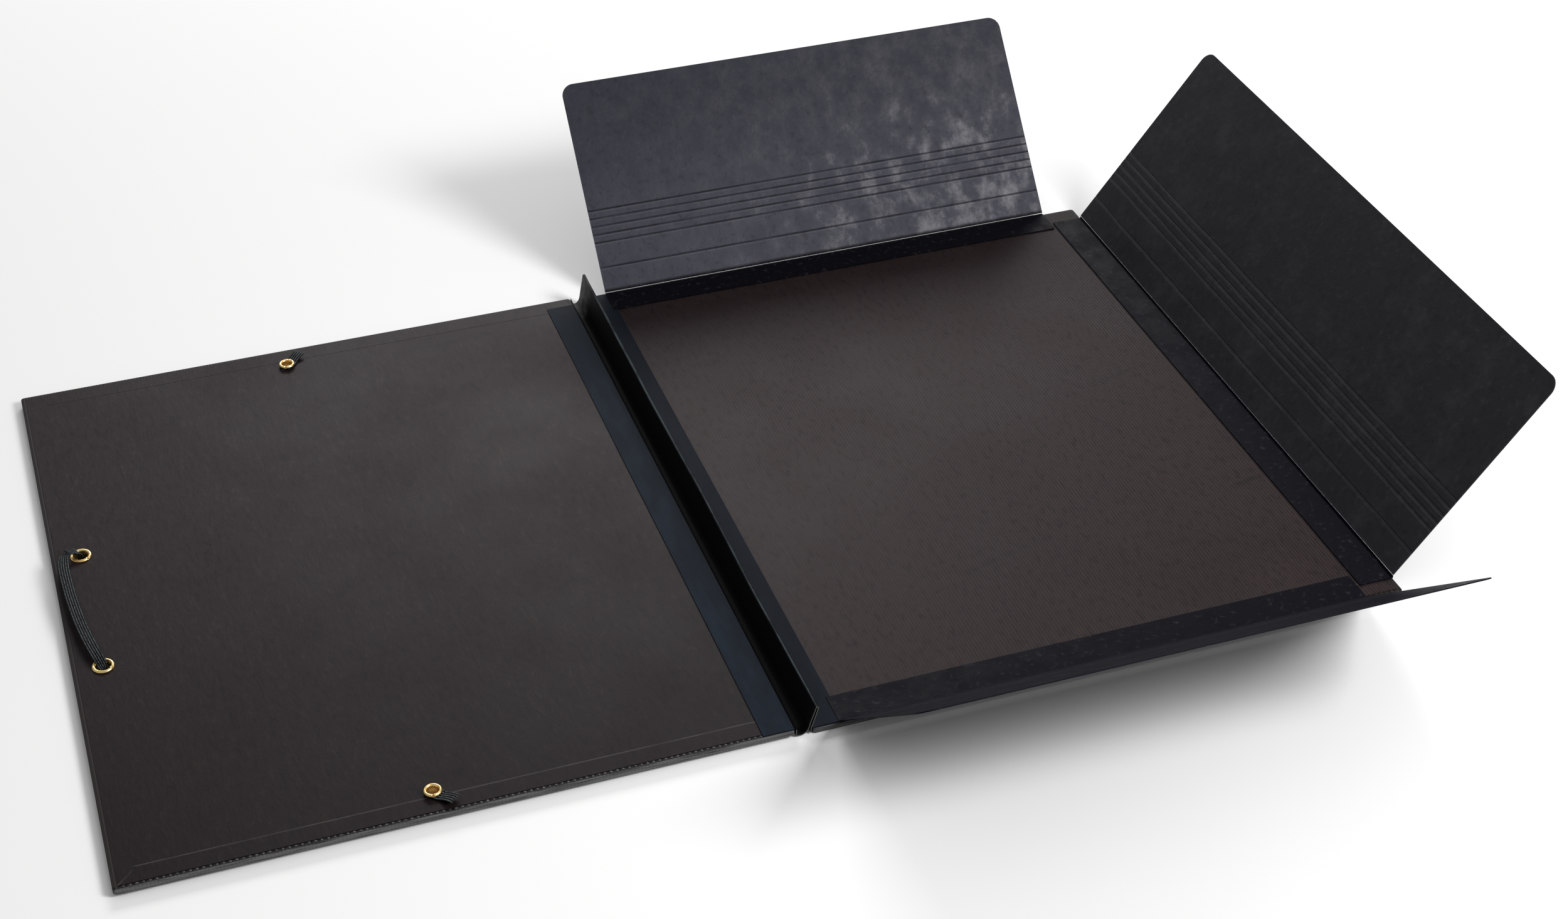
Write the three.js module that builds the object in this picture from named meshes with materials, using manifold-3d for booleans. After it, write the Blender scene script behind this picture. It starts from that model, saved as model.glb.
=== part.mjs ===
// An elastic drawing folder for A4 sheets, lying open with its inside up.
// Units are millimetres. The origin is the middle of the back cover's underside.
// +X runs from the front cover to the back cover, +Y from the near edge to the far edge, +Z up.
import * as THREE from "three";
import { mergeVertices } from "three/addons/utils/BufferGeometryUtils.js";
import Module from "manifold-3d";

const wasm = await Module();
wasm.setup();

// Covers
const coverWidth = 260;
const coverLength = 330;
const boardThickness = 1.8;
const coveringThickness = 0.25;
const liningThickness = 0.2;
const turnInWidth = 10;
const liningMargin = 2;
const liningDip = 0.08;
const coverCornerRadius = 1.5;
const coverEdgeBevel = 0.35;
const spineGap = 7;
const frontCoverLift = 1.4;

// Spine cloth
const clothThickness = 0.4;
const frontClothWidth = 13;
const backClothWidth = 12.7;
const clothEndInset = 0.6;
const frontClothFarInset = 7;
const clothToCard = 0.2;
const foldClearance = 0.3;
const pleatEndInset = 0.4;
const pleatNearHeight = 12.2;
const pleatFarHeight = 15.3;
const pleatNearLean = 5.6;
const pleatFarLean = 4.4;
const pleatFloor = 0.6;
const pleatFootWidth = 2.6;
const pleatRidgeRadius = 0.5;
// Where a sheet of the pleat passes, as shares of its lean and of its height
const pleatFootBend = [0.36, 0.14];
const pleatLeftBend = [0.55, 0.42];
const pleatRightBend = [0.22, 0.5];

// Flaps, each a glued strip and a leaf that turns at the cover's edge
const cardThickness = 0.5;
const flapHeight = 104;
const stripWidth = 15.5;
const endFlapSpineInset = 11;
const stripToStrip = 1.5;
const sideFlapWidth = 311;
const sideFlapShift = -1;
const flapCornerRadius = 6;
const foldGap = 0.3;
const farFlapLean = 41;
const nearFlapLean = 48.4;
const sideFlapLean = 37.7;
const scoreWidth = 0.9;
const scoreDepth = 0.14;
const firstScore = 12.1;
const scoreGroupStart = 24.5;
const scorePitch = 4;
const scoreGroupCount = 5;

// Eyelets
const eyeletShift = -1;
const endEyeletInset = 13;
const endEyeletFromSpine = 140;
const sideEyeletInset = 12.3;
const sideEyeletSpacing = 75.2;
const sideBoreRadius = 3;
const endBoreRadius = 2.3;
const eyeletWall = 0.3;
const flangeRadius = 4.3;
const flangeThickness = 0.45;
const sideRimRadius = 4.5;
const endRimRadius = 3.6;
const rimHeight = 0.9;
const eyeletHoleGap = 0.25;
const rimSplitWidth = 0.35;
const rimSplitFloor = 0.8;

// Elastic
const elasticWidth = 5;
const elasticThickness = 0.6;
const elasticGap = 0.2;
const slotWidth = 2.4;
const slotReach = 3.6;

const circleSides = 36;
const rollSides = 4;
const cutBeyond = 1;

// Levels and places that follow from the sizes
const coverThickness = coveringThickness * 2 + boardThickness + liningThickness;
const backTop = coverThickness;
const frontTop = frontCoverLift + coverThickness;
const frontCentreX = -(coverWidth + spineGap);
const backEdgeX = -coverWidth / 2;
const frontEdgeX = backEdgeX - spineGap;
const stripTop = backTop + cardThickness;
const endFoldZ = stripTop + foldGap + cardThickness / 2;
const sideFoldZ = endFoldZ + cardThickness + foldGap;
const endFlapWidth = coverWidth - endFlapSpineInset - stripWidth - stripToStrip;
const endFlapCentreX = backEdgeX + endFlapSpineInset + endFlapWidth / 2;
const endEyeletX = frontEdgeX - endEyeletFromSpine;
const endEyeletY = coverLength / 2 - endEyeletInset;
const sideEyeletX = frontCentreX - coverWidth / 2 + sideEyeletInset;
const sideEyeletY = sideEyeletSpacing / 2;

// Materials
const greyboard = new THREE.MeshStandardMaterial({ color: 0x8a8378, roughness: 0.95 });
const coveringPaper = new THREE.MeshStandardMaterial({ color: 0x2b2725, roughness: 0.7 });
const ribbedLining = new THREE.MeshStandardMaterial({ color: 0x3d3734, roughness: 0.75 });
const spineCloth = new THREE.MeshStandardMaterial({ color: 0x1e2430, roughness: 0.8 });
const pressboard = new THREE.MeshStandardMaterial({ color: 0x33343c, roughness: 0.35 });
const brass = new THREE.MeshStandardMaterial({ color: 0xd9b04a, roughness: 0.25, metalness: 1 });
const braid = new THREE.MeshStandardMaterial({ color: 0x14161a, roughness: 0.85 });

// Solids
function toSolid(geometry) {
  const bare = geometry.clone();
  bare.deleteAttribute("normal");
  bare.deleteAttribute("uv");
  const merged = mergeVertices(bare, 1e-4);
  const index = merged.index;
  return new wasm.Manifold(
    new wasm.Mesh({
      numProp: 3,
      vertProperties: new Float32Array(merged.attributes.position.array),
      triVerts: new Uint32Array(index.array),
    }),
  );
}

function fromSolid(solid) {
  const mesh = solid.getMesh();
  const geometry = new THREE.BufferGeometry();
  geometry.setAttribute("position", new THREE.BufferAttribute(mesh.vertProperties, 3));
  geometry.setIndex(new THREE.BufferAttribute(mesh.triVerts, 1));
  geometry.computeVertexNormals();
  return geometry;
}

function boxSolid(low, high) {
  const size = high.map((value, i) => value - low[i]);
  const box = new THREE.BoxGeometry(...size);
  box.translate(...low.map((value, i) => value + size[i] / 2));
  return toSolid(box);
}

function cylinderSolid(radius, low, high, x, y) {
  const cylinder = new THREE.CylinderGeometry(radius, radius, high - low, circleSides);
  cylinder.rotateX(Math.PI / 2);
  cylinder.translate(x, y, (low + high) / 2);
  return toSolid(cylinder);
}

function roundedRectangle(lowX, highX, lowY, highY, radius) {
  const shape = new THREE.Shape();
  shape.moveTo(lowX + radius, lowY);
  shape.lineTo(highX - radius, lowY);
  shape.absarc(highX - radius, lowY + radius, radius, -Math.PI / 2, 0);
  shape.lineTo(highX, highY - radius);
  shape.absarc(highX - radius, highY - radius, radius, 0, Math.PI / 2);
  shape.lineTo(lowX + radius, highY);
  shape.absarc(lowX + radius, highY - radius, radius, Math.PI / 2, Math.PI);
  shape.lineTo(lowX, lowY + radius);
  shape.absarc(lowX + radius, lowY + radius, radius, Math.PI, Math.PI * 1.5);
  return shape;
}

function named(name, geometry, material) {
  const mesh = new THREE.Mesh(geometry, material);
  mesh.name = name;
  return mesh;
}

// A closed skin through rings of points, one ring after another, with flat ends.
function loft(rings) {
  const sides = rings[0].length;
  const positions = rings.flat().flatMap((point) => [point.x, point.y, point.z]);
  const index = [];
  for (let ring = 0; ring < rings.length - 1; ring++) {
    for (let side = 0; side < sides; side++) {
      const a = ring * sides + side;
      const b = ring * sides + ((side + 1) % sides);
      index.push(a, b, b + sides, a, b + sides, a + sides);
    }
  }
  const last = (rings.length - 1) * sides;
  for (const [i, j, k] of capTriangles(rings[0])) index.push(k, j, i);
  for (const [i, j, k] of capTriangles(rings.at(-1))) index.push(last + i, last + j, last + k);
  const geometry = new THREE.BufferGeometry();
  geometry.setAttribute("position", new THREE.Float32BufferAttribute(positions, 3));
  geometry.setIndex(index);
  return geometry;
}

// Triangles of one flat ring, found in the ring's own plane.
function capTriangles(ring) {
  const normal = new THREE.Vector3();
  for (let i = 0; i < ring.length; i++) {
    normal.add(new THREE.Vector3().crossVectors(ring[i], ring[(i + 1) % ring.length]));
  }
  normal.normalize();
  const across = new THREE.Vector3().subVectors(ring[1], ring[0]).normalize();
  const up = new THREE.Vector3().crossVectors(normal, across);
  const flat = ring.map((point) => new THREE.Vector2(point.dot(across), point.dot(up)));
  return THREE.ShapeUtils.triangulateShape(flat, []);
}

// Covers: greyboard, a covering turned in over the edges, and a ribbed lining
function coverOutline(inset) {
  const halfWidth = coverWidth / 2 - inset;
  const halfLength = coverLength / 2 - inset;
  const radius = Math.max(coverCornerRadius - inset, 0.3);
  return roundedRectangle(-halfWidth, halfWidth, -halfLength, halfLength, radius);
}

function boardSolid() {
  const board = new THREE.ExtrudeGeometry(coverOutline(coveringThickness), {
    depth: boardThickness,
    bevelEnabled: false,
    curveSegments: 4,
  });
  board.translate(0, 0, coveringThickness);
  return toSolid(board);
}

function coveringSolid() {
  const wrapped = boardThickness + coveringThickness * 2;
  const outer = new THREE.ExtrudeGeometry(coverOutline(coverEdgeBevel), {
    depth: wrapped - coverEdgeBevel * 2,
    bevelEnabled: true,
    bevelSize: coverEdgeBevel,
    bevelThickness: coverEdgeBevel,
    bevelSegments: 2,
    curveSegments: 4,
  });
  outer.translate(0, 0, coverEdgeBevel);
  const windowX = coverWidth / 2 - turnInWidth;
  const windowY = coverLength / 2 - turnInWidth;
  const window = boxSolid(
    [-windowX, -windowY, coveringThickness + boardThickness / 2],
    [windowX, windowY, coverThickness + cutBeyond],
  );
  return toSolid(outer).subtract(boardSolid()).subtract(window);
}

function liningSolid() {
  const turnInTop = boardThickness + coveringThickness * 2;
  const padX = coverWidth / 2 - turnInWidth;
  const padY = coverLength / 2 - turnInWidth;
  const sheet = boxSolid(
    [-(coverWidth / 2 - liningMargin), -(coverLength / 2 - liningMargin), turnInTop],
    [coverWidth / 2 - liningMargin, coverLength / 2 - liningMargin, coverThickness],
  );
  const pad = boxSolid(
    [-padX, -padY, turnInTop - coveringThickness],
    [padX, padY, coverThickness],
  );
  const dip = boxSolid(
    [-padX, -padY, coverThickness - liningDip],
    [padX, padY, coverThickness + cutBeyond],
  );
  return sheet.add(pad).subtract(dip);
}

// Eyelets on the front cover. end tells an end eyelet's side, and is 0 at a side eyelet. split
// is the heading, in degrees, at which the rim cracked when it was rolled over.
const eyelets = [
  { name: "far", x: endEyeletX, y: eyeletShift + endEyeletY, end: 1, split: -109 },
  { name: "near", x: endEyeletX, y: eyeletShift - endEyeletY, end: -1, split: -100 },
  { name: "upper_side", x: sideEyeletX, y: eyeletShift + sideEyeletY, end: 0, split: -50 },
  { name: "lower_side", x: sideEyeletX, y: eyeletShift - sideEyeletY, end: 0, split: -32 },
];

function elasticRun(end) {
  const run = new THREE.Vector2(endEyeletX - sideEyeletX, end * (endEyeletY - sideEyeletY));
  return run.normalize();
}

// The punched holes: round for a side eyelet, and round with a slot for the elastic at an end one
function eyeletHole(eyelet) {
  const low = -cutBeyond;
  const high = frontTop + cutBeyond;
  if (!eyelet.end) {
    const radius = sideBoreRadius + eyeletWall + eyeletHoleGap;
    return cylinderSolid(radius, low, high, eyelet.x, eyelet.y);
  }
  const round = cylinderSolid(
    endBoreRadius + eyeletWall + eyeletHoleGap, low, high, eyelet.x, eyelet.y,
  );
  const slot = new THREE.BoxGeometry(slotReach, slotWidth, high - low);
  slot.translate(-slotReach / 2, 0, (low + high) / 2);
  const run = elasticRun(eyelet.end);
  slot.rotateZ(Math.atan2(run.y, run.x));
  slot.translate(eyelet.x, eyelet.y, 0);
  return round.add(toSolid(slot));
}

function frontCoverPart(solid) {
  const placed = solid.translate([frontCentreX, 0, frontCoverLift]);
  return eyelets.reduce((cut, eyelet) => cut.subtract(eyeletHole(eyelet)), placed);
}

// Eyelets: a flat head outside, a barrel through the board and a cracked rim rolled over inside
function eyeletSolid(eyelet) {
  const bore = eyelet.end ? endBoreRadius : sideBoreRadius;
  const rim = eyelet.end ? endRimRadius : sideRimRadius;
  const barrel = bore + eyeletWall;
  const headLow = eyelet.end ? 0 : frontCoverLift - flangeThickness;
  const rimLow = eyelet.end ? frontTop + elasticThickness + elasticGap * 2 : frontTop;
  const edge = flangeThickness / 2;
  const rollMiddle = (bore + rim) / 2;
  const rollWidth = rim - bore;
  const profile = new THREE.Path();
  profile.moveTo(bore, headLow);
  profile.lineTo(flangeRadius - edge, headLow);
  profile.lineTo(flangeRadius, headLow + edge);
  profile.lineTo(flangeRadius - edge, headLow + flangeThickness);
  profile.lineTo(barrel, headLow + flangeThickness);
  profile.lineTo(barrel, rimLow);
  profile.lineTo(rim, rimLow);
  profile.absellipse(rollMiddle, rimLow, rollWidth / 2, rimHeight, 0, Math.PI, false);
  profile.closePath();
  const ring = new THREE.LatheGeometry(profile.getPoints(rollSides), circleSides);
  ring.rotateX(Math.PI / 2);
  const split = new THREE.BoxGeometry(rollWidth, rimSplitWidth, rimHeight);
  split.translate(rollMiddle + rollWidth / 2, 0, rimLow + rimHeight * rimSplitFloor);
  split.rotateZ(THREE.MathUtils.degToRad(eyelet.split));
  return toSolid(ring).subtract(toSolid(split)).translate([eyelet.x, eyelet.y, 0]);
}

// Spine: a cloth strip pasted on each board, and a standing pleat between them
function clothStrip(points, z) {
  const shape = new THREE.Shape(points.map(([x, y]) => new THREE.Vector2(x, y)));
  const strip = new THREE.ExtrudeGeometry(shape, { depth: clothThickness, bevelEnabled: false });
  strip.translate(0, 0, z);
  return strip;
}

function frontClothGeometry() {
  const low = -coverLength / 2 + clothEndInset;
  const high = coverLength / 2 - frontClothFarInset;
  const outer = frontEdgeX - frontClothWidth;
  const inner = frontEdgeX - foldClearance;
  return clothStrip([[outer, low], [inner, low], [inner, high], [outer, high]], frontTop);
}

function backClothGeometry() {
  const half = coverLength / 2 - clothEndInset;
  const betweenFlaps = coverLength / 2 - stripWidth - clothToCard;
  const inner = backEdgeX + foldClearance;
  const flapEdge = backEdgeX + endFlapSpineInset - clothToCard;
  const outer = backEdgeX + backClothWidth;
  return clothStrip(
    [
      [inner, -half],
      [flapEdge, -half],
      [flapEdge, -betweenFlaps],
      [outer, -betweenFlaps],
      [outer, betweenFlaps],
      [flapEdge, betweenFlaps],
      [flapEdge, half],
      [inner, half],
    ],
    backTop,
  );
}

// The pleat's section: down the front board's edge, along the bottom, up the left sheet to
// the ridge, and down the right sheet to the back board's edge.
function pleatMiddle(height, lean) {
  const leftWall = frontEdgeX + foldClearance + clothThickness / 2;
  const rightWall = backEdgeX - foldClearance - clothThickness / 2;
  const foot = leftWall + pleatFootWidth;
  const ridgeX = foot + lean;
  const ridgeZ = pleatFloor + height;
  const ridge = new THREE.Path();
  ridge.absarc(ridgeX, ridgeZ - pleatRidgeRadius, pleatRidgeRadius, Math.PI, 0, true);
  return [
    new THREE.Vector2(leftWall, frontTop - foldClearance),
    new THREE.Vector2(leftWall, pleatFloor),
    new THREE.Vector2(foot, pleatFloor),
    new THREE.Vector2(foot + lean * pleatFootBend[0], pleatFloor + height * pleatFootBend[1]),
    new THREE.Vector2(foot + lean * pleatLeftBend[0], pleatFloor + height * pleatLeftBend[1]),
    ...ridge.getPoints(2),
    new THREE.Vector2(rightWall + lean * pleatRightBend[0], pleatFloor + height * pleatRightBend[1]),
    new THREE.Vector2(rightWall, backTop),
    new THREE.Vector2(rightWall, pleatFloor),
  ];
}

// Gives the section's middle line its thickness, at one end of the pleat. A corner's offset
// stops growing at the cosine sharpestTurn, so that a tight fold makes no spike.
const sharpestTurn = 0.6;
function pleatSection(y, height, lean) {
  const line = pleatMiddle(height, lean);
  const left = [];
  const right = [];
  line.forEach((point, i) => {
    const before = line[Math.max(i - 1, 0)];
    const after = line[Math.min(i + 1, line.length - 1)];
    const into = new THREE.Vector2().subVectors(point, before).normalize();
    const out = new THREE.Vector2().subVectors(after, point).normalize();
    const along = new THREE.Vector2().addVectors(into, out).normalize();
    const normal = new THREE.Vector2(-along.y, along.x);
    const offset = clothThickness / 2 / Math.max(out.dot(along), into.dot(along), sharpestTurn);
    left.push(point.clone().addScaledVector(normal, offset));
    right.push(point.clone().addScaledVector(normal, -offset));
  });
  return [...left, ...right.reverse()].map((point) => new THREE.Vector3(point.x, y, point.y));
}

function pleatGeometry() {
  const half = coverLength / 2 - pleatEndInset;
  return loft([
    pleatSection(-half, pleatNearHeight, pleatNearLean),
    pleatSection(half, pleatFarHeight, pleatFarLean),
  ]);
}

// Flaps. A leaf stands on its fold: across is along the fold, up is away from it, and the
// scores are pressed into the face that is inside when the folder is closed.
function leafGeometry(width) {
  const half = cardThickness / 2;
  const profile = new THREE.Shape();
  profile.absarc(0, 0, half, Math.PI, Math.PI * 2);
  const scores = [firstScore];
  for (let i = 0; i < scoreGroupCount; i++) scores.push(scoreGroupStart + i * scorePitch);
  profile.lineTo(half, flapHeight);
  profile.lineTo(-half, flapHeight);
  for (const height of scores.reverse()) {
    profile.lineTo(-half, height + scoreWidth / 2);
    profile.lineTo(-half + scoreDepth, height);
    profile.lineTo(-half, height - scoreWidth / 2);
  }
  profile.closePath();
  const sheet = new THREE.ExtrudeGeometry(profile, {
    depth: width,
    bevelEnabled: false,
    curveSegments: 6,
  });
  sheet.translate(0, 0, -width / 2);
  const side = width / 2;
  const cornerX = side - flapCornerRadius;
  const cornerY = flapHeight - flapCornerRadius;
  const outline = new THREE.Shape();
  outline.moveTo(-side, -cutBeyond);
  outline.lineTo(side, -cutBeyond);
  outline.lineTo(side, cornerY);
  outline.absarc(cornerX, cornerY, flapCornerRadius, 0, Math.PI / 2);
  outline.lineTo(-cornerX, flapHeight);
  outline.absarc(-cornerX, cornerY, flapCornerRadius, Math.PI / 2, Math.PI);
  outline.closePath();
  const cutter = new THREE.ExtrudeGeometry(outline, {
    depth: (cardThickness + cutBeyond) * 2,
    bevelEnabled: false,
    curveSegments: 8,
  });
  cutter.translate(0, 0, -cardThickness - cutBeyond);
  cutter.rotateY(-Math.PI / 2);
  return fromSolid(toSolid(sheet).intersect(toSolid(cutter)));
}

// Turns a leaf, made with its scored face towards -X and its fold along Z, to stand on a fold
// line at a cover's edge: heading is the direction it leans to, in degrees about +Z.
function standingLeaf(name, width, x, y, z, heading, lean) {
  const leaf = named(name, leafGeometry(width), pressboard);
  const tilt = new THREE.Group();
  leaf.rotation.x = Math.PI / 2;
  tilt.rotation.y = THREE.MathUtils.degToRad(lean);
  tilt.add(leaf);
  const place = new THREE.Group();
  place.rotation.z = THREE.MathUtils.degToRad(heading);
  place.position.set(x, y, z);
  place.add(tilt);
  return place;
}

function endStrip(name, end) {
  const edge = (end * coverLength) / 2;
  const inner = end * (coverLength / 2 - stripWidth);
  const low = Math.min(edge, inner);
  const high = Math.max(edge, inner);
  const left = endFlapCentreX - endFlapWidth / 2;
  return named(
    name,
    fromSolid(boxSolid([left, low, backTop], [left + endFlapWidth, high, stripTop])),
    pressboard,
  );
}

function sideStrip() {
  const edge = coverWidth / 2;
  const low = sideFlapShift - sideFlapWidth / 2;
  const high = low + sideFlapWidth;
  const flat = boxSolid([edge - stripWidth, low, backTop], [edge, high, stripTop]);
  const upturnTop = sideFoldZ - cardThickness / 2 - foldGap;
  const upturn = boxSolid([edge - cardThickness, low, backTop], [edge, high, upturnTop]);
  return named("right_flap_strip", fromSolid(flat.add(upturn)), pressboard);
}

// Elastic: one flat braid. Each station is a point on its middle line, with the direction of
// its width, its width and its thickness there.
const elasticUnder = elasticThickness / 2;
const insideUp = (height) => frontTop + height;

function station(x, y, z, across, width, thickness) {
  return { point: new THREE.Vector3(x, y, z), across: new THREE.Vector3(...across), width, thickness };
}

// Stations from the tail at an end eyelet, down through its slot and out along the underside
function endStations(end) {
  const eyelet = eyelets.find((one) => one.end === end);
  const run = elasticRun(end);
  const across = [-run.y * end, run.x * end, 0];
  const at = (along, z, width, thickness) =>
    station(eyelet.x + run.x * along, eyelet.y + run.y * along, z, across, width, thickness);
  const w = elasticWidth;
  const t = elasticThickness;
  const lying = insideUp(elasticGap + t / 2);
  return [
    at(10, lying + 1.2, w + 1, t),
    at(7.5, lying + 0.9, w + 0.6, t),
    at(5, lying + 0.2, w + 0.4, t),
    at(3.4, lying, w + 1.2, t),
    at(0, lying, w + 1.2, t),
    at(-2, lying, w + 1.2, t),
    at(-2.8, lying - 0.1, slotWidth - 0.1, t * 0.8),
    at(-3.2, insideUp(-0.6), slotWidth - 0.5, 0.4),
    at(-3.2, frontCoverLift + 0.3, slotWidth - 0.5, 0.4),
    at(-3.6, 0.95, slotWidth, t * 0.75),
    at(-4.6, 0.9, w * 0.7, t * 0.75),
    at(-6.2, 0.5, w, t),
    at(-9, elasticUnder, w, t),
  ];
}

// Stations along the underside and up through a side eyelet's bore
function sideStations(end) {
  const eyelet = eyelets.find((one) => one.name === (end > 0 ? "upper_side" : "lower_side"));
  const run = elasticRun(end);
  const across = [-run.y * end, run.x * end, 0];
  const w = elasticWidth;
  const t = elasticThickness;
  const at = (along, z, width, thickness) =>
    station(eyelet.x + run.x * along, eyelet.y + run.y * along, z, across, width, thickness);
  return [
    at(9, elasticUnder, w, t),
    at(5, elasticUnder, w * 0.9, t),
    at(2.2, elasticUnder + 0.02, w * 0.9, t),
    at(0.7, 0.75, w * 0.88, t),
    at(0.1, 1.5, w * 0.86, t),
    at(0, insideUp(-0.4), w * 0.86, t),
  ];
}

// Stations of the loop inside, from one side eyelet to the other. Each starts from an eyelet
// (1 or -1) or from the middle between them (0), and its height is above the lining.
function loopStation(from, x, y, height, across, narrower, thickness) {
  const startY = eyeletShift + from * sideEyeletY;
  return station(
    sideEyeletX + x, startY + y, insideUp(height), across, elasticWidth - narrower, thickness,
  );
}

const elasticStations = [
  ...endStations(1),
  ...sideStations(1),
  loopStation(1, -0.5, 0.4, 1.6, [-0.5, 0.86, 0], 0.7, 0.6),
  loopStation(1, -1.9, 0.6, 2.9, [-0.3, 0.95, 0], 0.4, 0.6),
  loopStation(1, -4.3, 0, 3.7, [0.2, 0.98, 0], 0.2, 0.6),
  loopStation(1, -6.3, -2, 4.1, [0.66, 0.75, 0], 0.1, 0.6),
  loopStation(1, -7.3, -5.6, 4.3, [0.95, 0.3, 0], 0.2, 0.6),
  loopStation(1, -7.7, -14.6, 4.4, [1, 0.02, 0], 0.2, 0.6),
  loopStation(0, -7.1, 7, 4.4, [1, -0.06, 0], 0.2, 0.6),
  loopStation(0, -5.5, -11, 4.3, [0.99, -0.1, 0], 0.2, 0.6),
  loopStation(-1, -3.3, 12.6, 3.9, [0.98, -0.16, 0], 0.2, 0.6),
  loopStation(-1, -1.5, 4.6, 3, [0.97, -0.2, 0], 0.4, 0.6),
  loopStation(-1, -0.4, 1.3, 1.7, [0.9, -0.4, 0], 0.7, 0.6),
  ...sideStations(-1).reverse(),
  ...endStations(-1).reverse(),
];

// The braid's section, as shares of its width and its thickness
const braidSection = [
  [0.5, 0.22], [0.42, 0.5], [-0.42, 0.5], [-0.5, 0.22],
  [-0.5, -0.22], [-0.42, -0.5], [0.42, -0.5], [0.5, -0.22],
];

function elasticRing(one, along) {
  const across = one.across.clone().addScaledVector(along, -one.across.dot(along)).normalize();
  const up = new THREE.Vector3().crossVectors(along, across);
  return braidSection.map(([u, v]) => {
    const corner = one.point.clone();
    corner.addScaledVector(across, u * one.width);
    return corner.addScaledVector(up, v * one.thickness);
  });
}

function elasticSolid() {
  const rings = elasticStations.map((one, i) => {
    const before = elasticStations[Math.max(i - 1, 0)].point;
    const after = elasticStations[Math.min(i + 1, elasticStations.length - 1)].point;
    return elasticRing(one, new THREE.Vector3().subVectors(after, before).normalize());
  });
  let solid = toSolid(loft(rings));
  const room = endBoreRadius + eyeletWall + elasticGap;
  const above = frontTop + elasticThickness + cutBeyond;
  for (const eyelet of eyelets.filter((one) => one.end)) {
    solid = solid.subtract(cylinderSolid(room, -cutBeyond, above, eyelet.x, eyelet.y));
  }
  return solid;
}

// The folder
const folder = new THREE.Group();
folder.name = "elastic_drawing_folder";

folder.add(named("back_board", fromSolid(boardSolid()), greyboard));
folder.add(named("back_covering", fromSolid(coveringSolid()), coveringPaper));
folder.add(named("back_lining", fromSolid(liningSolid()), ribbedLining));
folder.add(named("front_board", fromSolid(frontCoverPart(boardSolid())), greyboard));
folder.add(named("front_covering", fromSolid(frontCoverPart(coveringSolid())), coveringPaper));
folder.add(named("front_lining", fromSolid(frontCoverPart(liningSolid())), ribbedLining));

folder.add(named("spine_cloth_front", frontClothGeometry(), spineCloth));
folder.add(named("spine_cloth_back", backClothGeometry(), spineCloth));
folder.add(named("spine_pleat", pleatGeometry(), spineCloth));

folder.add(endStrip("far_flap_strip", 1));
folder.add(endStrip("near_flap_strip", -1));
folder.add(sideStrip());

const edgeY = coverLength / 2;
const edgeX = coverWidth / 2;
folder.add(standingLeaf("far_flap", endFlapWidth, endFlapCentreX, edgeY, endFoldZ, 90, farFlapLean));
folder.add(standingLeaf("near_flap", endFlapWidth, endFlapCentreX, -edgeY, endFoldZ, -90, nearFlapLean));
folder.add(standingLeaf("right_flap", sideFlapWidth, edgeX, sideFlapShift, sideFoldZ, 0, sideFlapLean));

for (const eyelet of eyelets) {
  folder.add(named("eyelet_" + eyelet.name, fromSolid(eyeletSolid(eyelet)), brass));
}
folder.add(named("elastic", fromSolid(elasticSolid()), braid));

export default folder;
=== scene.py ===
# An elastic drawing folder for A4 sheets, lying open on a pale floor with its inside up.
# Lengths are metres. +X runs from the front cover to the back cover and +Y to the far edge.
import math

import bmesh
import bpy
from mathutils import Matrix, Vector


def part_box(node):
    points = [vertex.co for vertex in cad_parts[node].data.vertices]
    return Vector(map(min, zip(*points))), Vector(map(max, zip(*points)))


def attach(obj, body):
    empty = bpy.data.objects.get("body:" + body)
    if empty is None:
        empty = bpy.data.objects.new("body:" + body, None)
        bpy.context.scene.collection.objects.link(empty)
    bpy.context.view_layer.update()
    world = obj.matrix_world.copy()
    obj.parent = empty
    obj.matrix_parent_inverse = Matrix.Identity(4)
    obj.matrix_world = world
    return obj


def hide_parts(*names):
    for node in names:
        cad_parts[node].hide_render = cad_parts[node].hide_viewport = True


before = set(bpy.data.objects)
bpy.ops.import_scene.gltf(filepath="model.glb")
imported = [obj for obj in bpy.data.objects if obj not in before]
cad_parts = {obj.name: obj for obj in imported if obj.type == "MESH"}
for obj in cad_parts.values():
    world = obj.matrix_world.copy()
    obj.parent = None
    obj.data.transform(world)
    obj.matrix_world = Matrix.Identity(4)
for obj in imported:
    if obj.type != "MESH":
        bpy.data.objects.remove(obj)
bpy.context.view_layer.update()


# Camera
# It stands in front of the open folder, left of its middle, and looks down at it. The place
# and the lens come from the photograph's own perspective.
camera_place = Vector((-0.38292, -0.85684, 0.66528))
camera_heading = math.radians(19.216)
camera_dip = math.radians(35.937)
camera_lens = 58.44
camera_data = bpy.data.cameras.new("camera")
camera_data.lens = camera_lens
camera_data.sensor_width = 36
camera = bpy.data.objects.new("camera", camera_data)
camera.location = camera_place
look = Vector((
    math.sin(camera_heading) * math.cos(camera_dip),
    math.cos(camera_heading) * math.cos(camera_dip),
    -math.sin(camera_dip),
))
camera.rotation_euler = look.to_track_quat("-Z", "Y").to_euler()
bpy.context.collection.objects.link(camera)
bpy.context.scene.camera = camera
bpy.context.scene.view_settings.view_transform = "Standard"


# Floor and light
# The floor is a plain pale sheet. One soft lamp hangs in front and to the right, and one
# behind gives the paper its sheen; the rest is even light from all round.
def put(tree, kind, values=None, **settings):
    """Adds a node to a tree, with its settings, and its sockets set or linked."""
    made = tree.nodes.new(kind)
    for setting, value in settings.items():
        setattr(made, setting, value)
    for socket, value in (values or {}).items():
        if isinstance(value, bpy.types.NodeSocket):
            tree.links.new(value, made.inputs[socket])
        else:
            made.inputs[socket].default_value = value
    return made


def calc(tree, operation, *values):
    """A sum on numbers or sockets."""
    return put(tree, "ShaderNodeMath", dict(enumerate(values)), operation=operation).outputs[0]


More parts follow.
